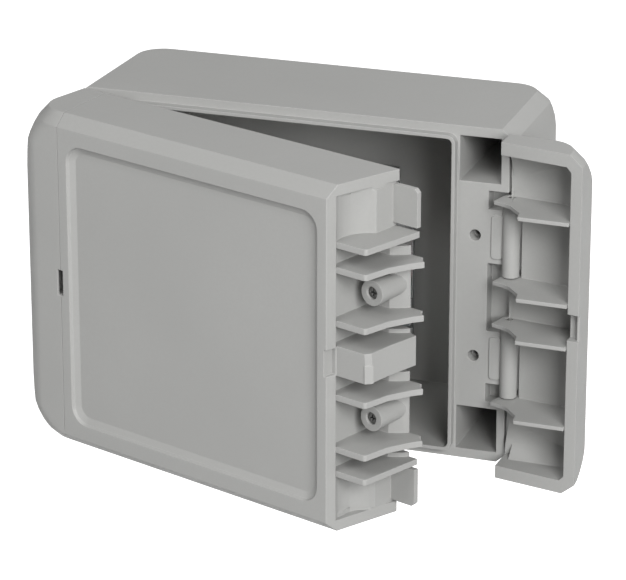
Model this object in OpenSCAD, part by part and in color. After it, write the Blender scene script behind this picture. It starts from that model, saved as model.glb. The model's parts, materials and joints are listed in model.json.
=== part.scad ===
// Wall-mounted fiber termination box with a hinged lid and two full-height side strips.
// +X right, +Y into the wall, +Z up. The origin is the centre of the back face of the base.
// Shapes are drawn with Y measured from the rim of the base; in_place() moves them into the part's frame.

/* [Enclosure] */
// Height over the top and bottom faces
height = 125; // [124:0.5:126]
// Half the overall width, at the side strips
side_half = 85.5; // [85.5:0.1:86]
// Half the width of the flat top face
top_half = 78; // [77.5:0.1:78.5]
// Depth of the base, from its rim to the wall
base_depth = 59.5; // [59:0.5:64]
// Depth of the lid in front of the rim
lid_depth = 31.3; // [31:0.1:31.5]
// Height of the chamfer along the long top and bottom edges
edge_chamfer = 4.1; // [4:0.1:4.2]
// Depth of that chamfer at the front
front_chamfer = 4.9; // [4.5:0.1:5]
// Depth of that chamfer at the back
back_chamfer = 3.4; // [3.2:0.1:4]

/* [Pose] */
// How far the lid stands open
lid_angle = 20.9; // [0:0.1:60]
// How far the latch strip stands open
latch_angle = 88.1; // [0:0.1:95]

/* [Opening] */
// Half the width of the opening in the base
open_half_x = 60.7; // [60.5:0.1:60.8]
// Half the height of the opening in the base
open_half_z = 58.1; // [57.9:0.1:58.2]
// Thickness of the sealing lip round the opening
lip_wall = 1.3; // [1.2:0.1:1.4]
// How far the sealing lip stands in front of the rim
lip_rise = 3.4; // [3.2:0.1:3.5]

/* [Hinges] */
// Distance of each hinge axis from the middle of the box
axis_x = 82; // [82:0.1:82.1]
// Radius of the hinge barrels on the base
barrel_r = 3.1; // [3:0.05:3.1]
// Radius of the hinge pins
pin_r = 1.25; // [1.2:0.05:1.3]
// Height of the middle of each hinge barrel above the middle of the box
barrel_z = 22.75; // [22.7:0.05:22.8]

/* [Lid screws] */
// Distance of the lid screws from the middle of the box, sideways
screw_x = 68.8; // [68.6:0.1:69]
// Distance of the lid screws from the middle of the box, upwards
screw_z = 22.7; // [22.5:0.1:22.9]

/* [Wall mounting] */
// Distance of the mounting wells from the middle of the box, sideways
well_x = 70.35; // [70.3:0.05:70.4]
// Distance of the mounting wells from the middle of the box, upwards
well_z = 50.65; // [50.6:0.05:50.7]
// Radius of the wall screw holes
wall_hole_r = 2.4; // [2:0.1:2.6]

/* [Fibre parts] */
// Number of adapters, and of drop cable grommets
adapter_count = 4; // [2:1:4]
// Distance between neighbouring adapters
adapter_pitch = 15; // [14.5:0.5:15]
// Number of splice sleeves
sleeve_count = 6; // [4:1:6]
// Tilt of the splice tray
tray_angle = 0; // [0:1:60]

/* [Hidden] */
$fn = 64;

shell_grey = [0.72, 0.73, 0.71];
rubber_black = [0.12, 0.12, 0.12];
zinc = [0.75, 0.76, 0.78];
steel = [0.8, 0.8, 0.8];
fibre_green = [0.12, 0.5, 0.3];

half_h = height / 2;
wall = 2.2;             // general wall thickness
back_wall = 3;          // wall between the contents and the wall of the building
far = 200;              // reach of a cutting block beyond the box
seam_gap = 0.1;         // gap at the seams between lid and strips
rim_gap = 0.15;         // gap between the rim and what closes on it

// Seam between lid and strip: x = seam_rim + seam_flare * y, with y negative in front of the rim
seam_rim = 68;
seam_flare = 0.193;
function seam_x(y) = seam_rim + seam_flare * y;

// Upper stretch of each side face: an arc that starts upright and ends at the corner chamfer
arc_start_z = 46.5;
arc_r = 25.9;
back_lean = 0.022;      // how much the side faces lean in towards the back

// Plan shape of each level of the upper half:
// [height, radius of the front corner, lean of the side towards the front, radius of the back corner]
level_shapes = [[40, 11, 0.09, 14.5], [46.5, 9.3, 0.14, 14], [50, 8.8, 0.155, 13], [53, 9.8, 0.17, 12],
    [56, 13.4, 0.145, 11.9], [half_h - edge_chamfer, 18.2, 0.08, 12], [half_h, 11.7, 0.05, 9.8]];
corner_steps = 8;

function arc(cx, cy, r, a0, a1, n) =
    [for (i = [0:n]) let (a = a0 + (a1 - a0) * i / n) [cx + r * cos(a), cy + r * sin(a)]];
function reversed(p) = [for (i = [len(p) - 1:-1:0]) p[i]];
function scaled(p, sx, sy) = [for (q = p) [q[0] * sx, q[1] * sy]];
function four_way(q) = concat(q, reversed(scaled(q, -1, 1)), scaled(q, -1, -1), reversed(scaled(q, 1, -1)));
function rounded(half_a, half_b, r, n = 5) = four_way(arc(half_a - r, half_b - r, r, 0, 90, n));

module in_place() { translate([0, -base_depth, 0]) children(); }
module slab_x(x0, x1) { translate([x0, 0, 0]) rotate([90, 0, 90]) linear_extrude(x1 - x0) children(); }
module slab_y(y0, y1) { translate([0, y1, 0]) rotate([90, 0, 0]) linear_extrude(y1 - y0) children(); }
module slab_z(z0, z1) { translate([0, 0, z0]) linear_extrude(z1 - z0) children(); }
module box(x0, x1, y0, y1, z0, z1) { translate([x0, y0, z0]) cube([x1 - x0, y1 - y0, z1 - z0]); }
module rod_x(x0, x1, y, z, r) { translate([x0, y, z]) rotate([0, 90, 0]) cylinder(r = r, h = x1 - x0); }
module rod_y(y0, y1, x, z, r) { translate([x, y1, z]) rotate([90, 0, 0]) cylinder(r = r, h = y1 - y0); }
module rod_z(z0, z1, x, y, r) { translate([x, y, z0]) cylinder(r = r, h = z1 - z0); }
module both_sides() { children(); mirror([1, 0, 0]) children(); }
module up_and_down() { children(); mirror([0, 0, 1]) children(); }
module four_corners() { both_sides() up_and_down() children(); }

// Turns a closed lid or strip to the pose in which the box is stored, open
module lid_pose() {
    in_place() translate([-axis_x, 0, 0]) rotate([0, 0, -lid_angle]) translate([axis_x, 0, 0]) children();
}
module latch_pose() {
    in_place() translate([axis_x, 0, 0]) rotate([0, 0, latch_angle]) translate([-axis_x, 0, 0]) children();
}

/* ---- Outer form ---- */

function side_drop(z) = z <= arc_start_z ? 0 : arc_r - sqrt(arc_r * arc_r - pow(z - arc_start_z, 2));
function half_width(z) = z > half_h - edge_chamfer ? top_half : side_half - side_drop(z);

// Levels of the upper half as [z, half width, depth, corner radius, lean]
function front_levels() = [for (v = level_shapes)
    [v[0], half_width(v[0]), lid_depth - (v[0] == half_h ? front_chamfer : 0), v[1], v[2]]];
function back_levels() = [for (v = level_shapes)
    [v[0], half_width(v[0]), base_depth - (v[0] == half_h ? back_chamfer : 0), v[3], back_lean]];
function both_halves(upper) = concat([for (v = reversed(upper)) [-v[0], v[1], v[2], v[3], v[4]]], upper);

// Plan outline of one level: a leaning side from start, then a rounded corner
function half_ring(v, start) =
    let (r = v[3], lean = v[4], cy = v[2] - r, cx = v[1] - lean * cy - r * sqrt(1 + lean * lean))
    concat([[v[1] - lean * start, start]], arc(cx, cy, r, atan(lean), 90, corner_steps));
function full_ring(v, start) = let (h = half_ring(v, start)) concat(h, reversed(scaled(h, -1, 1)));

// Closed outer form that runs from start to the depth given by its levels
module outer_form(levels, start) {
    n = 2 * corner_steps + 4;
    last = len(levels) - 1;
    points = [for (v = levels) for (q = full_ring(v, start)) [q[0], q[1], v[0]]];
    bands = [for (k = [0:last - 1]) for (i = [0:n - 1])
        let (a = k * n + i, b = k * n + (i + 1) % n)
        for (f = [[a, a + n, b + n], [a, b + n, b]]) f];
    polyhedron(points, concat([[for (i = [0:n - 1]) i]], bands, [[for (i = [n - 1:-1:0]) last * n + i]]));
}
module base_form() { outer_form(both_halves(back_levels()), 0); }
module front_form() { mirror([0, 1, 0]) outer_form(both_halves(front_levels()), -1); }

/* ---- Base ---- */

recess_x = 73.5;        // inner side of the hinge recess
recess_z = 39.6;        // end of the hinge recess
recess_depth = 6.2;
tongue_x = 80.8;        // outer side of the rim beside the strips
side_start = 4;         // where the outer side face of the base begins
well_half_x = 7.55;
well_half_z = 8.25;
well_floor = 5.5;
core_x0 = 63.2;         // hollow behind the hinge recess, open to the back
core_x1 = 82;
core_z = 39.5;
core_y = 8.8;
barrel_half = 13.8;     // half the length of a hinge barrel
bridge_half = 8;        // half the height of the bridge that carries a barrel
pad_rise = 0.6;         // how far the pad on the bridge stands in front of the rim
standoff_y = 52.5;
plate_x = [-46, 18];
plate_z = [-45.5, 21];
gland_x = -46;
row_x = -24;            // first adapter and grommet
row_y = 28;             // distance of glands and adapters behind the rim
gland_hole_r = 10;
grommet_hole_r = 5;

module knuckle() {
    rod_z(barrel_z - barrel_half, barrel_z + barrel_half, axis_x, 0, barrel_r);
    box(recess_x - 0.5, 79.8, 0, recess_depth + 0.5, barrel_z - 10, barrel_z + 10);
    translate([76.9, 0, barrel_z]) slab_y(-pad_rise, 0.5) polygon(rounded(2.1, bridge_half, 1.2));
    box(79, 84.2, 0.4, recess_depth + 0.5, barrel_z - barrel_half + 1, barrel_z + barrel_half - 1);
}

module base_solid() {
    difference() {
        base_form();
        slab_y(-1, base_depth - back_wall) polygon(rounded(open_half_x, open_half_z, 2));
        both_sides() {
            box(tongue_x, far, -1, side_start, -far, far);
            box(recess_x, far, -1, recess_depth, -recess_z, recess_z);
            box(core_x0, core_x1, core_y, base_depth + 1, -core_z, core_z);
        }
        four_corners() box(well_x - well_half_x, well_x + well_half_x, -1, base_depth - well_floor,
            well_z - well_half_z, well_z + well_half_z);
    }
}

module sealing_lip() {
    difference() {
        slab_y(-lip_rise, 0.5) polygon(rounded(open_half_x + lip_wall, open_half_z + lip_wall, 3.3));
        slab_y(-lip_rise - 1, 1) polygon(rounded(open_half_x, open_half_z, 2));
    }
}

module base_shell() {
    color(shell_grey) in_place() difference() {
        union() {
            base_solid();
            sealing_lip();
            four_corners() knuckle();
            four_corners() rod_y(core_y - 1, 18, screw_x, screw_z, 4.4);
            for (x = plate_x, z = plate_z) rod_y(standoff_y, base_depth - 1, x, z, 4);
        }
        four_corners() {
            rod_z(barrel_z - barrel_half - 2, barrel_z + barrel_half + 2, axis_x, 0, pin_r + 0.02);
            rod_y(-1, 5, screw_x, screw_z, 2.05);
            rod_y(4, 16, screw_x, screw_z, 1.3);
            rod_y(base_depth - well_floor - 1, base_depth + 1, well_x, well_z, wall_hole_r);
        }
        for (x = plate_x, z = plate_z) rod_y(standoff_y - 1, base_depth - 1.5, x, z, 1.5);
        rod_z(-half_h - 1, -open_half_z + 1, gland_x, row_y, gland_hole_r);
        for (i = [0:adapter_count - 1])
            rod_z(-half_h - 1, -open_half_z + 1, row_x + i * adapter_pitch, row_y, grommet_hole_r);
    }
}

module pin_pair() {
    up_and_down() rod_z(barrel_z - barrel_half - 1.6, barrel_z + barrel_half + 1.6, axis_x, 0, pin_r);
}
module hinge_pins() { color(steel) in_place() mirror([1, 0, 0]) pin_pair(); }
module latch_pins() { color(steel) in_place() pin_pair(); }

/* ---- Side strips ---- */

flange_back = 27;       // distance of the back of the front flange from the rim
strip_rib = 1.4;        // thickness of a strip rib
strip_ribs = [-37.65, -7.85, 7.85, 37.65];
cap_z = 57.8;           // underside of the top cap
tool_half = 4.8;        // half the height of the screwdriver notch in the seam

module strip_region() {
    polygon([[seam_x(-rim_gap) + seam_gap, -rim_gap], [seam_x(-40) + seam_gap, -40], [far, -40],
        [far, 0.7], [82.9, 0.7], [82.9, -rim_gap]]);
}

module strip_cavity() {
    intersection() {
        slab_z(-cap_z, cap_z) polygon(concat([[50, 5], [50, -flange_back]],
            arc(74, -20.5, 6.5, -90, -20, 8), [[83.2, -0.5], [83.2, 5]]));
        slab_y(-far, far) polygon(four_way(arc(64, 42, 19.2, 0, 55.4, 8)));
        slab_x(-far, far) polygon([[6, -cap_z], [1.8 - flange_back, -cap_z], [-flange_back, 1.8 - cap_z],
            [-flange_back, cap_z - 1.8], [1.8 - flange_back, cap_z], [6, cap_z]]);
    }
}

module strip_rib_plan() {
    polygon([[63.4, -flange_back - 0.4], [63.4, 0.1 - flange_back], [61.7, 0.1 - flange_back], [61.7, -8.6],
        [66.6, -7.6], [72.4, -2.6], [74.2, 0.6], [75.6, 4.6], [82, 3], [84.3, 0.5], [84, -10], [81.5, -24],
        [77, -28]]);
}

module side_strip() {
    color(shell_grey) difference() {
        union() {
            difference() {
                intersection() {
                    front_form();
                    slab_z(-far, far) strip_region();
                }
                strip_cavity();
            }
            for (z = strip_ribs) {
                slab_z(z - strip_rib / 2, z + strip_rib / 2) strip_rib_plan();
                rod_z(z - strip_rib / 2, z + strip_rib / 2, axis_x, 0, 3);
            }
        }
        up_and_down() {
            rod_z(5, 40, axis_x, 0, pin_r + 0.07);
            box(77, far, -3.7, 5, barrel_z - barrel_half - 0.4, barrel_z + barrel_half + 0.4);
        }
        up_and_down() box(60, 79.5, -2.7, 1, 42, cap_z);
        box(60, 63.6, -far, 1 - flange_back, -tool_half, tool_half);
        box(60, 66.8, 0.9 - lid_depth, 1 - flange_back, -tool_half, tool_half);
    }
}
module hinge_strip() { lid_pose() mirror([1, 0, 0]) side_strip(); }
module latch_strip() { latch_pose() side_strip(); }

/* ---- Lid ---- */

side_wall_x = 60;       // outer face of the lid's side walls, between the ribs
lid_top_in = 58.5;      // underside of the lid's top wall
rib_front = 26.7;       // front edge of the ribs, in front of the rim
rib_thick = 2.2;
frame_depth = 5.6;      // depth of the frame that holds the gasket
frame_x = 73.3;
groove_depth = 5.2;
groove_gap = 0.4;
boss_r = 4.6;           // free end of the screw bosses
boss_length = 15.45;

// Inner end of each rib, which joins the front flange
rib_root = [[59, -flange_back - 0.1], [62.6, -flange_back - 0.1], [62.6, -rib_front]];

module straight_rib_plan() {
    polygon(concat(rib_root, arc(74, 1.3 - rib_front, 1.3, -90, -5, 4), [[77, -0.4], [59, -0.4]]));
}
module wavy_rib_plan() {
    polygon(concat(rib_root, arc(74, 1.3 - rib_front, 1.3, -90, -5, 4),
        [[76.3, -16], [79.6, -7.2], [81.7, -3.6]], arc(axis_x, 0, 3.5, 255, 186, 6),
        [[76.8, -0.4], [59, -0.4]]));
}
module latch_block_plan() {
    polygon(concat(rib_root, [[74.8, -rib_front], [76.2, -24.4], [76.1, -16], [76.9, -1.6], [70, -0.4],
        [59, -0.4]]));
}
module corner_wall_plan() {
    polygon(concat([[59, -rim_gap], [59, -28], [62, -28]], arc(73, -21.3, 12, 207, 121, 8),
        [[66.7, -rim_gap]]));
}
module back_frame_plan() {
    polygon([[57.5, -frame_depth], [68.3, -frame_depth], [72, -2.4], [frame_x, -0.8], [frame_x, -rim_gap],
        [57.5, -rim_gap]]);
}

module rib(z, thick) { slab_z(z - thick / 2, z + thick / 2) children(); }

// Plan of the lid between its two seams
module lid_region() {
    polygon([[seam_x(-rim_gap), -rim_gap], [seam_x(-40), -40], [-seam_x(-40), -40],
        [-seam_x(-rim_gap), -rim_gap]]);
}

module lid_side() {
    up_and_down() {
        rib(41.3, rib_thick) straight_rib_plan();
        rib(32.4, rib_thick) wavy_rib_plan();
        rib(13.3, rib_thick) wavy_rib_plan();
        slab_z(42, 57.7) corner_wall_plan();
        slab_z(57.6, lid_top_in + 0.1) intersection() {
            corner_wall_plan();
            lid_region();
        }
        box(59, 61.5, -28, -rim_gap, 57, 58.6);
        translate([screw_x, -rim_gap, screw_z]) rotate([90, 0, 0])
            cylinder(r1 = boss_r - 0.7, r2 = boss_r, h = boss_length);
        slab_y(-2.1, -rim_gap) polygon([[62, 43.9], [77.2, 43.9], [77.2, 56.4], [76, 57.6], [62, 57.6]]);
    }
    rib(0, 10.8) latch_block_plan();
    slab_z(-5.4, 1.2) polygon([[74.2, 0.05 - rib_front], [75.1, -rib_front], [76.8, -24.2], [76.1, -23.4]]);
    difference() {
        slab_z(-42, 42) back_frame_plan();
        for (z = strip_ribs) box(67, far, -far, 1, z - 1, z + 1);
    }
    box(57.5, 63.5, -frame_depth, -rim_gap, -58.6, 58.6);
}

module gasket_groove(gap, y0, y1) {
    difference() {
        slab_y(y0, y1) polygon(rounded(open_half_x + lip_wall + gap, open_half_z + lip_wall + gap, 3.7));
        slab_y(y0 - 1, y1 + 1) polygon(rounded(open_half_x - gap, open_half_z - gap, 1.6));
    }
}

// Shallow field in the front face, with a sloping side
module face_field() {
    hull() {
        slab_y(-lid_depth - 0.1, -lid_depth) polygon(rounded(57.9, 52.7, 6.8, 8));
        slab_y(-lid_depth + 1.1, -lid_depth + 1.2) polygon(rounded(57.5, 52.3, 6.4, 8));
    }
    hull() {
        slab_y(-lid_depth + 1.1, -lid_depth + 1.2) polygon(rounded(57.5, 52.3, 6.4, 8));
        slab_y(-lid_depth + 2.1, -lid_depth + 2.2) polygon(rounded(55.2, 50, 4.4, 8));
    }
}

module lid_shell() {
    color(shell_grey) lid_pose() difference() {
        union() {
            difference() {
                intersection() {
                    front_form();
                    slab_z(-far, far) lid_region();
                }
                slab_y(-26.5, -7) polygon(rounded(side_wall_x - wall, lid_top_in, 2));
                slab_y(-8, 1) polygon(rounded(57.8, 56.3, 2));
                both_sides() box(side_wall_x, far, -flange_back, 1, -lid_top_in, lid_top_in);
            }
            both_sides() lid_side();
        }
        gasket_groove(groove_gap, -groove_depth, 1);
        four_corners() {
            rod_y(-far, -9, screw_x, screw_z, 2.2);
            rod_y(-10, 1, screw_x, screw_z, 1.7);
        }
        both_sides() box(60.9, 65, -far, -flange_back, -tool_half, tool_half);
        face_field();
    }
}

module lid_gasket() {
    color(rubber_black) lid_pose() gasket_groove(groove_gap - 0.08, -groove_depth + 0.05, -lip_rise - 0.1);
}

/* ---- Fasteners ---- */

// Countersunk or pan screw along +Y, head at y0, with a cross recess
module screw(x, z, y0, head_h, shank, head_r, shank_r) {
    difference() {
        union() {
            rod_y(y0, y0 + head_h, x, z, head_r);
            rod_y(y0 + head_h - 0.1, y0 + head_h + shank, x, z, shank_r);
        }
        for (turn = [0, 90])
            translate([x, y0, z]) rotate([0, turn, 0])
                box(-head_r * 0.6, head_r * 0.6, -1, head_h * 0.5, -head_r * 0.13, head_r * 0.13);
    }
}
module lid_screws() {
    color(steel) lid_pose() four_corners() screw(screw_x, screw_z, -14.8, 2.4, 11.8, 2.05, 1.5);
}
module plate_screws() {
    color(steel) in_place() for (x = plate_x, z = plate_z)
        screw(x, z, plate_front - 1.85, 1.8, 6.8, 2.8, 1.45);
}
module bracket_screws() {
    color(steel) in_place() for (x = bracket_screw_x)
        screw(x, bracket_screw_z, plate_front - sheet - 1.95, 1.8, 5, 2.6, 1.2);
}

/* ---- Mounting plate and splice tray ---- */

plate_front = 50.5;
sheet = 1.5;            // thickness of the brackets
tray_x0 = -48;
tray_x1 = 22;
tray_z0 = -9;
tray_z1 = 27;
tray_front = 37;
tray_floor_y = 45.5;
tray_back = 47;
tray_wall = 1.5;
hinge_y = 45.5;
hinge_z = -11;
ear_x = [tray_x0 - 2.6, tray_x1 + 1.1];
guide_z = 8;
comb_x = [-27, -5];
sleeve_z0 = -2.4;
sleeve_pitch = 4.2;
sleeve_y = 43;
sleeve_r = 1.28;
bracket_screw_x = [-28, 27];
bracket_screw_z = -28;
rail_z = -34.5;         // underside of the adapter rail

module mounting_plate() {
    color(zinc) in_place() difference() {
        slab_y(plate_front, standoff_y - 0.05) polygon([[-54, -50], [30, -50], [30, 10], [24, 10], [24, 27],
            [-54, 27]]);
        for (x = plate_x, z = plate_z) rod_y(plate_front - 1, standoff_y + 1, x, z, 1.7);
        for (x = bracket_screw_x) rod_y(plate_front - 1, standoff_y + 1, x, bracket_screw_z, 1.25);
        for (x = [-42, -14], z = [4, 14])
            box(x - 6, x + 6, plate_front - 1, standoff_y + 1, z - 1.5, z + 1.5);
    }
}

module tray_bracket() {
    color(zinc) in_place() difference() {
        union() {
            box(ear_x[0], ear_x[1] + sheet, plate_front - 0.05 - sheet, plate_front - 0.05, -16, -7);
            for (x = ear_x) box(x, x + sheet, 41.5, plate_front - 0.1, -16, -7);
        }
        rod_x(-60, 40, hinge_y, hinge_z, 1.02);
    }
}
module tray_pin() {
    color(steel) in_place() rod_x(ear_x[0] - 0.8, ear_x[1] + sheet + 0.8, hinge_y, hinge_z, 1);
}

module tray_pose() {
    in_place() translate([0, hinge_y, hinge_z]) rotate([tray_angle, 0, 0])
        translate([0, -hinge_y, -hinge_z]) children();
}

// Half of a round wall that keeps the fibre's bend wide; side is the way it bulges
module fibre_guide(x, side) {
    guide_r = 9;
    guide_wall = 1.2;
    difference() {
        rod_y(tray_front + 1, tray_floor_y + 0.5, x, guide_z, guide_r);
        rod_y(tray_front, tray_floor_y, x, guide_z, guide_r - guide_wall);
        translate([x - side * 6, 0, guide_z]) box(-6, 6, tray_front - 1, tray_floor_y, -12, 12);
    }
}

module splice_tray() {
    color([0.9, 0.9, 0.88]) tray_pose() difference() {
        union() {
            difference() {
                box(tray_x0, tray_x1, tray_front, tray_back, tray_z0, tray_z1);
                box(tray_x0 + tray_wall, tray_x1 - tray_wall, tray_front - 1, tray_floor_y,
                    tray_z0 + tray_wall, tray_z1 - tray_wall);
            }
            fibre_guide(-36, -1);
            fibre_guide(10, 1);
            rod_x(tray_x0, tray_x1, hinge_y, hinge_z, 2.6);
            box(tray_x0, tray_x1, hinge_y - 1.5, tray_back, hinge_z, tray_z0 + 1);
        }
        rod_x(-60, 40, hinge_y, hinge_z, 1.06);
        for (x = [tray_x0 + 9, tray_x1 - 9]) box(x - 4, x + 4, 39, 43, tray_z0 - 1, tray_z0 + 3);
    }
}

module splice_combs() {
    last_z = sleeve_z0 + sleeve_pitch * (sleeve_count - 1);
    color([0.2, 0.2, 0.22]) tray_pose() for (x = comb_x) difference() {
        box(x, x + 6, 40.6, tray_floor_y - 0.05, sleeve_z0 - 2.6, last_z + 2.6);
        for (z = [sleeve_z0:sleeve_pitch:last_z + 0.1]) {
            rod_x(x - 1, x + 7, sleeve_y, z, sleeve_r + 0.07);
            box(x - 1, x + 7, 39, sleeve_y, z - 1.1, z + 1.1);
        }
    }
}
module splice_sleeves() {
    color([0.85, 0.87, 0.9]) tray_pose() for (i = [0:sleeve_count - 1])
        rod_x(-33, 7, sleeve_y, sleeve_z0 + i * sleeve_pitch, sleeve_r);
}
module tray_cover() {
    color([0.8, 0.85, 0.88, 0.5]) tray_pose() {
        box(tray_x0, tray_x1, tray_front - 1.35, tray_front - 0.05, tray_z0 + 0.5, tray_z1);
        for (x = [-42, 10]) box(x, x + 6, tray_front - 0.6, tray_front + 2, tray_z1 - 2.6, tray_z1 - 1.7);
    }
}

/* ---- Adapters ---- */

module adapter_bracket() {
    color(zinc) in_place() difference() {
        union() {
            box(-31.5, 30, 17.5, plate_front - 0.05, rail_z, rail_z + sheet);
            box(-31.5, 30, plate_front - 0.05 - sheet, plate_front - 0.05, rail_z, -23);
        }
        for (i = [0:adapter_count - 1]) {
            x = row_x + i * adapter_pitch;
            box(x - 4.8, x + 4.8, row_y - 6.5, row_y + 6.5, rail_z - 1, rail_z + 3);
        }
        for (x = bracket_screw_x) rod_y(40, 60, x, bracket_screw_z, 1.3);
    }
}

module adapter(x) {
    difference() {
        union() {
            box(x - 4.7, x + 4.7, row_y - 6.4, row_y + 6.4, -47, -22);
            box(x - 5.4, x + 5.4, row_y - 9.8, row_y + 9.8, rail_z + sheet + 0.05, rail_z + sheet + 2);
        }
        box(x - 3.5, x + 3.5, row_y - 4.6, row_y + 4.6, -48, -36);
        box(x - 3.5, x + 3.5, row_y - 4.6, row_y + 4.6, -33, -21);
        box(x - 1, x + 1, row_y - 7, row_y - 4, -48, -43);
        box(x - 1, x + 1, row_y - 7, row_y - 4, -26, -21);
        rod_z(-40, -30, x, row_y, 1.3);
    }
}
module fiber_adapters() {
    color(fibre_green) in_place() for (i = [0:adapter_count - 1]) adapter(row_x + i * adapter_pitch);
}

module dust_cap(x, z0, z1, plug0, plug1) {
    box(x - 4.5, x + 4.5, row_y - 6, row_y + 6, z0, z1);
    box(x - 3.4, x + 3.4, row_y - 4.5, row_y + 4.5, plug0, plug1);
}
module dust_caps() {
    color([0.85, 0.2, 0.15]) in_place() for (i = [0:adapter_count - 1]) {
        x = row_x + i * adapter_pitch;
        dust_cap(x, -50, -47.05, -47.1, -38);
        dust_cap(x, -21.95, -19, -31, -21.9);
    }
}

/* ---- Cable fixing ---- */

clamp_screw_x = [gland_x - 9.4, gland_x + 9.4];
clamp_z = -35.5;        // middle of the cable clamp
clamp_half = 4.5;
post_z = -24;

module cable_anchor() {
    color([0.3, 0.3, 0.32]) in_place() difference() {
        box(gland_x - 12.5, gland_x + 12.5, row_y + 0.4, plate_front - 0.05,
            clamp_z - clamp_half, clamp_z + clamp_half);
        rod_z(clamp_z - 10, clamp_z + 10, gland_x, row_y, 5);
        for (x = clamp_screw_x) rod_y(row_y - 1, row_y + 12, x, clamp_z, 1.25);
    }
}
module cable_strap() {
    color([0.3, 0.3, 0.32]) in_place() difference() {
        union() {
            box(gland_x - 12.5, gland_x + 12.5, row_y - 3.4, row_y - 0.4, clamp_z - 4.2, clamp_z + 4.2);
            rod_z(clamp_z - 4.2, clamp_z + 4.2, gland_x, row_y, 6.9);
        }
        rod_z(clamp_z - 10, clamp_z + 10, gland_x, row_y, 5);
        box(gland_x - 20, gland_x + 20, row_y - 0.4, row_y + 20, clamp_z - 10, clamp_z + 10);
        for (x = clamp_screw_x) rod_y(0, 40, x, clamp_z, 1.3);
    }
}
module strap_screws() {
    color(steel) in_place() for (x = clamp_screw_x) screw(x, clamp_z, row_y - 5.2, 1.7, 11.5, 2.3, 1.2);
}
module strength_post() {
    color([0.78, 0.62, 0.3]) in_place() difference() {
        rod_y(37, plate_front - 0.05, gland_x, post_z, 3.2);
        rod_y(36, 45, gland_x, post_z, 1.3);
        rod_z(post_z - 5, post_z + 5, gland_x, 41, 1.1);
    }
}
module post_screw() { color(steel) in_place() screw(gland_x, post_z, 34.7, 2.2, 6, 3, 1.25); }

/* ---- Cable gland and grommets ---- */

module gland_body() {
    color(rubber_black) in_place() translate([gland_x, row_y, 0]) difference() {
        union() {
            translate([0, 0, -68.5]) cylinder(r = 13.4, h = 4.6, $fn = 6);
            translate([0, 0, -64]) cylinder(r = 9.9, h = 12);
            translate([0, 0, -77]) cylinder(r = 9.4, h = 9);
        }
        translate([0, 0, -80]) cylinder(r = 6, h = 40);
        translate([0, 0, -78]) cylinder(r = 7.6, h = 5);
    }
}
module ring_z(x, y, z0, z1, r_in, r_out) {
    difference() {
        rod_z(z0, z1, x, y, r_out);
        rod_z(z0 - 1, z1 + 1, x, y, r_in);
    }
}
module gland_ring() {
    color([0.3, 0.3, 0.3]) in_place() ring_z(gland_x, row_y, -63.85, -62.55, 9.95, 12.4);
}
module gland_locknut() {
    color(rubber_black) in_place() translate([gland_x, row_y, -58.05]) difference() {
        cylinder(r = 13.2, h = 4, $fn = 6);
        translate([0, 0, -1]) cylinder(r = 9.95, h = 6);
    }
}
module gland_seal() { color([0.3, 0.3, 0.3]) in_place() ring_z(gland_x, row_y, -83.2, -73.1, 4.5, 7.5); }
module gland_cap() {
    color(rubber_black) in_place() translate([gland_x, row_y, 0]) difference() {
        union() {
            rotate_extrude()
                polygon([[0, -87], [8.2, -87], [10.6, -85], [11.6, -82], [11.6, -69], [0, -69]]);
            translate([0, 0, -76]) cylinder(r = 12.6, h = 7, $fn = 6);
        }
        translate([0, 0, -77.4]) cylinder(r = 9.5, h = 20);
        translate([0, 0, -83.3]) cylinder(r = 8, h = 10);
        translate([0, 0, -90]) cylinder(r = 5.6, h = 10);
    }
}

module drop_grommets() {
    color([0.2, 0.2, 0.2]) in_place() for (i = [0:adapter_count - 1])
        translate([row_x + i * adapter_pitch, row_y, 0]) rotate_extrude()
            polygon([[0, -60.6], [2.2, -61], [3.6, -63], [3.6, -65.2], [6.2, -64.6], [6.8, -62.55],
                [4.95, -62.55], [4.95, -58.05], [6.2, -58.05], [5.8, -57], [4, -56.6], [3.4, -58.6],
                [0, -59.4]]);
}

base_shell();
lid_shell();
hinge_strip();
latch_strip();
hinge_pins();
latch_pins();
lid_gasket();
lid_screws();
mounting_plate();
plate_screws();
tray_bracket();
tray_pin();
splice_tray();
splice_combs();
splice_sleeves();
tray_cover();
adapter_bracket();
bracket_screws();
fiber_adapters();
dust_caps();
cable_anchor();
cable_strap();
strap_screws();
strength_post();
post_screw();
gland_body();
gland_ring();
gland_locknut();
gland_seal();
gland_cap();
drop_grommets();
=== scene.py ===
"""Looks of the wall-mounted fiber termination box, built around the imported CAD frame. Metres, +Z up."""

import json
import math

import bpy
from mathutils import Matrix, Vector

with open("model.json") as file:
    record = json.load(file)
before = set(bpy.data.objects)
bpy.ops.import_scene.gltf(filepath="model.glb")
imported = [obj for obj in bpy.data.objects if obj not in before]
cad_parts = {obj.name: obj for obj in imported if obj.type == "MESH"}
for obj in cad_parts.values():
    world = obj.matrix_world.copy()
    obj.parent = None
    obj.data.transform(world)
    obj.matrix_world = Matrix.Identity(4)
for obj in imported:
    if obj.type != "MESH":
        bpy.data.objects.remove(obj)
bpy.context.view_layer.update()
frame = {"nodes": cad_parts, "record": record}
NODES = frame["nodes"]

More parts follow.
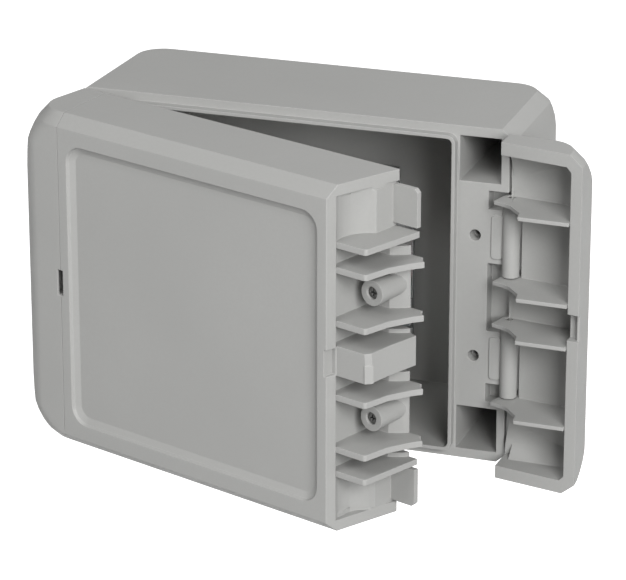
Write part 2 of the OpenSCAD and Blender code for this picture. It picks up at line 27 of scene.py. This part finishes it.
# ---- Camera and studio ----
CAMERA_PLACE = (0.394414, -1.15873, 0.42068)
CAMERA_PITCH_DOWN = 0.350447  # radians, as is the yaw
CAMERA_YAW = 0.337735
CAMERA_LENS = 198.173  # millimetres, for a 36 mm wide sensor
AMBIENT = 0.32
cam_data = bpy.data.cameras.new("camera")
cam = bpy.data.objects.new("camera", cam_data)
bpy.context.scene.collection.objects.link(cam)
cam.location = CAMERA_PLACE
cam.rotation_euler = (math.pi / 2 - CAMERA_PITCH_DOWN, 0.0, CAMERA_YAW)
cam_data.sensor_fit = "HORIZONTAL"
cam_data.sensor_width = 36.0
cam_data.lens = CAMERA_LENS
cam_data.clip_start = 0.05
cam_data.clip_end = 50.0
bpy.context.scene.camera = cam

bpy.context.scene.view_settings.view_transform = "Standard"

world = bpy.data.worlds.new("studio")
bpy.context.scene.world = world
world.use_nodes = True
world.node_tree.nodes["Background"].inputs["Color"].default_value = (1.0, 1.0, 1.0, 1.0)
world.node_tree.nodes["Background"].inputs["Strength"].default_value = AMBIENT


def softbox(name, place, aim, width, height, watts):
    """One rectangular area light, aimed at a point."""
    data = bpy.data.lights.new(name, "AREA")
    data.shape = "RECTANGLE"
    data.size, data.size_y = width, height
    data.energy = watts
    lamp = bpy.data.objects.new(name, data)
    lamp.location = place
    lamp.rotation_euler = (Vector(aim) - Vector(place)).to_track_quat("-Z", "Y").to_euler()
    bpy.context.scene.collection.objects.link(lamp)


AIM = (0.0, -0.06, 0.0)  # middle of the box
softbox("key_right", (1.03, -1.37, 0.68), AIM, 0.8, 0.8, 33.0)
softbox("fill_high", (-0.4, -1.26, 1.54), AIM, 1.0, 1.0, 13.0)
softbox("back_light", (0.3, 1.7, 0.9), AIM, 1.2, 1.2, 8.0)


# ---- Node helpers ----
class Graph:
    """A material's node tree with short calls."""

    def __init__(self, name):
        self.mat = bpy.data.materials.new(name)
        self.mat.use_nodes = True
        self.tree = self.mat.node_tree
        self.bsdf = self.tree.nodes["Principled BSDF"]
        self.point = self.node("ShaderNodeTexCoord").outputs["Object"]

    def node(self, kind, **values):
        made = self.tree.nodes.new(kind)
        for key, value in values.items():
            setattr(made, key, value)
        return made

    def link(self, a, b):
        self.tree.links.new(a, b)

    def noise(self, scale, detail=2.0, stretch=None):
        made = self.node("ShaderNodeTexNoise")
        made.inputs["Scale"].default_value = scale
        made.inputs["Detail"].default_value = detail
        source = self.point
        if stretch:
            mapping = self.node("ShaderNodeMapping")
            mapping.inputs["Scale"].default_value = stretch
            self.link(self.point, mapping.inputs["Vector"])
            source = mapping.outputs["Vector"]
        self.link(source, made.inputs["Vector"])
        return made.outputs["Fac"]

    def remap(self, value, low, high, from_low=0.3, from_high=0.7):
        made = self.node("ShaderNodeMapRange")
        made.inputs["From Min"].default_value = from_low
        made.inputs["From Max"].default_value = from_high
        made.inputs["To Min"].default_value = low
        made.inputs["To Max"].default_value = high
        self.link(value, made.inputs["Value"])
        return made.outputs["Result"]

    def mix(self, fac, a, b):
        made = self.node("ShaderNodeMix", data_type="RGBA")
        for socket, value in ((made.inputs[0], fac), (made.inputs[6], a), (made.inputs[7], b)):
            if isinstance(value, bpy.types.NodeSocket):
                self.link(value, socket)
            else:
                socket.default_value = value
        return made.outputs[2]

    def edges(self, radius):
        """1 on sharp edges and 0 elsewhere."""
        bevel = self.node("ShaderNodeBevel", samples=4)
        bevel.inputs["Radius"].default_value = radius
        geometry = self.node("ShaderNodeNewGeometry")
        dot = self.node("ShaderNodeVectorMath", operation="DOT_PRODUCT")
        self.link(bevel.outputs["Normal"], dot.inputs[0])
        self.link(geometry.outputs["Normal"], dot.inputs[1])
        return self.remap(dot.outputs["Value"], 1.0, 0.0, 0.9, 0.995)

    def bump(self, height, strength, distance, rounding=0.0):
        made = self.node("ShaderNodeBump")
        made.inputs["Strength"].default_value = strength
        made.inputs["Distance"].default_value = distance
        self.link(height, made.inputs["Height"])
        if rounding:
            bevel = self.node("ShaderNodeBevel", samples=6)
            bevel.inputs["Radius"].default_value = rounding
            self.link(bevel.outputs["Normal"], made.inputs["Normal"])
        self.link(made.outputs["Normal"], self.bsdf.inputs["Normal"])

    def put(self, name, value):
        if isinstance(value, bpy.types.NodeSocket):
            self.link(value, self.bsdf.inputs[name])
        else:
            self.bsdf.inputs[name].default_value = value


def rgba(colour):
    return (*colour, 1.0)


def shade(colour, k):
    return rgba([min(1.0, c * k) for c in colour])


def plastic(name, colour, rough=0.45, grain=0.12, rounding=0.0003, wear=0.12, specular=0.5):
    """Moulded plastic: fine spark-eroded grain, faint flow clouds, edges rubbed a little lighter."""
    g = Graph(name)
    cloud = g.remap(g.noise(14.0, 3.0), 0.0, 1.0)
    base = g.mix(cloud, shade(colour, 0.97), shade(colour, 1.03))
    speck = g.remap(g.noise(900.0, 1.0), 0.0, 1.0, 0.35, 0.65)
    base = g.mix(g.remap(speck, 0.0, 0.25, 0.0, 1.0), base, shade(colour, 0.94))
    edge = g.remap(g.edges(0.0006), 0.0, wear, 0.0, 1.0)
    g.put("Base Color", g.mix(edge, base, shade(colour, 1.35)))
    g.put("Roughness", g.remap(g.noise(60.0, 3.0), rough - 0.04, rough + 0.05))
    g.put("Specular IOR Level", specular)
    g.bump(g.noise(2600.0, 2.0), grain, 0.00005, rounding)
    return g.mat


def metal(name, colour, rough=0.3, stretch=(1.0, 1.0, 20.0), wear=0.3, spangle=0.0):
    """Plated or turned steel: fine lines along one direction, brighter on the edges."""
    g = Graph(name)
    line = g.remap(g.noise(420.0, 3.0, stretch), 0.0, 1.0)
    base = g.mix(line, shade(colour, 0.9), shade(colour, 1.06))
    if spangle:
        cells = g.node("ShaderNodeTexVoronoi", feature="F1")
        cells.inputs["Scale"].default_value = 260.0
        g.link(g.point, cells.inputs["Vector"])
        base = g.mix(g.remap(cells.outputs["Distance"], 0.0, spangle, 0.0, 1.0), base, shade(colour, 0.75))
    edge = g.remap(g.edges(0.0003), 0.0, wear, 0.0, 1.0)
    g.put("Base Color", g.mix(edge, base, shade(colour, 1.25)))
    g.put("Metallic", 1.0)
    g.put("Roughness", g.remap(line, rough - 0.06, rough + 0.08, 0.0, 1.0))
    g.bump(line, 0.15, 0.00003, 0.00015)
    return g.mat


def rubber(name, colour):
    """Moulded rubber: matt, with a dusty bloom in patches."""
    g = Graph(name)
    bloom = g.remap(g.noise(90.0, 4.0), 0.0, 0.5, 0.35, 0.75)
    g.put("Base Color", g.mix(bloom, rgba(colour), shade(colour, 1.7)))
    g.put("Roughness", g.remap(g.noise(200.0, 2.0), 0.68, 0.82))
    g.bump(g.noise(1800.0, 2.0), 0.2, 0.00005, 0.0002)
    return g.mat


def clear_plastic(name, colour, alpha):
    """Clear sheet or heat-shrink tube with faint moulding haze."""
    g = Graph(name)
    haze = g.remap(g.noise(70.0, 3.0), 0.0, 1.0)
    g.put("Base Color", g.mix(haze, shade(colour, 0.96), rgba(colour)))
    g.put("Roughness", g.remap(g.noise(120.0, 2.0), 0.08, 0.2))
    g.put("Transmission Weight", alpha)
    g.put("IOR", 1.49)
    g.bump(g.noise(300.0, 2.0), 0.05, 0.00004, 0.0002)
    return g.mat


# ---- Palette ----
GREY = (0.352, 0.352, 0.343)
shell = plastic("moulded_grey_shell", GREY, rough=0.58, specular=0.32)
steel = metal("screw_steel", (0.62, 0.62, 0.6))
dark_steel = metal("dark_passivated_steel", (0.17, 0.17, 0.165), rough=0.42, wear=0.15)
zinc = metal("zinc_plated_sheet", (0.6, 0.61, 0.62), rough=0.38, stretch=(1.0, 1.0, 1.0), spangle=0.5)
brass = metal("brass_post", (0.72, 0.52, 0.24), rough=0.28)
seal = rubber("seal_rubber", (0.028, 0.028, 0.028))
tray_white = plastic("tray_plastic", (0.62, 0.62, 0.59), rough=0.4, wear=0.05)
dark = plastic("dark_plastic", (0.04, 0.04, 0.045), rough=0.5)
gland = plastic("gland_nylon", (0.018, 0.018, 0.019), rough=0.42, grain=0.2)
green = plastic("adapter_green", (0.02, 0.22, 0.08), rough=0.35, grain=0.06)
red = plastic("dust_cap_red", (0.48, 0.035, 0.025), rough=0.5)
cover = clear_plastic("clear_tray_cover", (0.93, 0.96, 0.97), 0.8)
sleeve = clear_plastic("splice_sleeve", (0.86, 0.9, 0.93), 0.35)

MATERIALS = {
    "shell": shell, "steel": steel, "dark_steel": dark_steel, "zinc_sheet": zinc, "brass_post": brass,
    "seal_rubber": seal, "tray_plastic": tray_white, "dark_plastic": dark, "sleeve_plastic": sleeve,
    "clear_plastic": cover, "adapter_green": green, "cap_red": red, "gland_black": gland,
}
for entry in frame["record"]["subparts"]:
    node = NODES[entry["node"]]
    node.data.materials.clear()
    node.data.materials.append(MATERIALS[entry["material_slot"]])


# ---- Edges of the CAD nodes ----
WELD_DISTANCE = 0.000002
FLAT_ANGLE = math.radians(0.6)   # faces closer than this are one face
SHARP_ANGLE = math.radians(21.0)  # edges sharper than this are rounded


def soften(name, radius, split):
    """Cleans a CAD node's faces, rounds its sharp edges by a small real radius and shades it smooth."""
    node = NODES[name]
    mesh = node.data
    for extra in ("custom_normal", "sharp_face", "sharp_edge"):  # shading marks only, the shape stays
        if extra in mesh.attributes:
            mesh.attributes.remove(mesh.attributes[extra])
    weld = node.modifiers.new("weld", "WELD")
    weld.merge_threshold = WELD_DISTANCE
    clean = node.modifiers.new("clean_faces", "DECIMATE")
    clean.decimate_type = "DISSOLVE"
    clean.angle_limit = FLAT_ANGLE
    if split:
        node.modifiers.new("plain_triangles", "TRIANGULATE")
    edge = node.modifiers.new("edge_radius", "BEVEL")
    edge.width = radius
    edge.segments = 2
    edge.limit_method = "ANGLE"
    edge.angle_limit = SHARP_ANGLE
    edge.use_clamp_overlap = False
    edge.miter_outer = "MITER_ARC"
    even = node.modifiers.new("even_normals", "WEIGHTED_NORMAL")
    even.keep_sharp = False
    even.weight = 80


# Edge radius of each node, in metres
RADII = {
    "base_shell": 0.00015, "lid_shell": 0.00015, "hinge_strip": 0.00015, "latch_strip": 0.00015,
    "splice_tray": 0.0002, "splice_combs": 0.0001, "tray_cover": 0.0002, "adapter_bracket": 0.00015,
    "tray_bracket": 0.00015, "mounting_plate": 0.00015, "fiber_adapters": 0.00015, "dust_caps": 0.0003,
    "cable_anchor": 0.0003, "cable_strap": 0.0003, "gland_body": 0.0004, "gland_cap": 0.0004,
    "gland_locknut": 0.0003, "gland_ring": 0.0002, "gland_seal": 0.0002, "drop_grommets": 0.0002,
    "strength_post": 0.0002, "lid_screws": 0.00012, "plate_screws": 0.00015, "bracket_screws": 0.00015,
    "strap_screws": 0.00015, "post_screw": 0.00015, "hinge_pins": 0.0002, "latch_pins": 0.0002,
    "tray_pin": 0.0002, "splice_sleeves": 0.0002, "lid_gasket": 0.0002,
}
for name, radius in RADII.items():
    soften(name, radius, split=name != "base_shell")  # the base's long rim face stays whole


# ---- Studio floor ----
FLOOR_Z = -0.36
FLOOR_HALF = 9.0
floor_mesh = bpy.data.meshes.new("studio_floor")
corners = [(sx * FLOOR_HALF, sy * FLOOR_HALF, FLOOR_Z) for sx, sy in ((-1, -1), (1, -1), (1, 1), (-1, 1))]
floor_mesh.from_pydata(corners, [], [(0, 1, 2, 3)])
floor = bpy.data.objects.new("studio_floor", floor_mesh)
bpy.context.scene.collection.objects.link(floor)
floor.visible_diffuse = False  # the white floor doesn't light the box from below
pale = Graph("pale_floor")
cloud = pale.remap(pale.noise(0.8), 0.0, 1.0)
pale.put("Base Color", pale.mix(cloud, (0.93, 0.93, 0.93, 1.0), (0.95, 0.95, 0.95, 1.0)))
pale.put("Roughness", 0.9)
pale.put("Emission Color", (1.0, 1.0, 1.0, 1.0))
pale.put("Emission Strength", 0.7)
floor_mesh.materials.append(pale.mat)
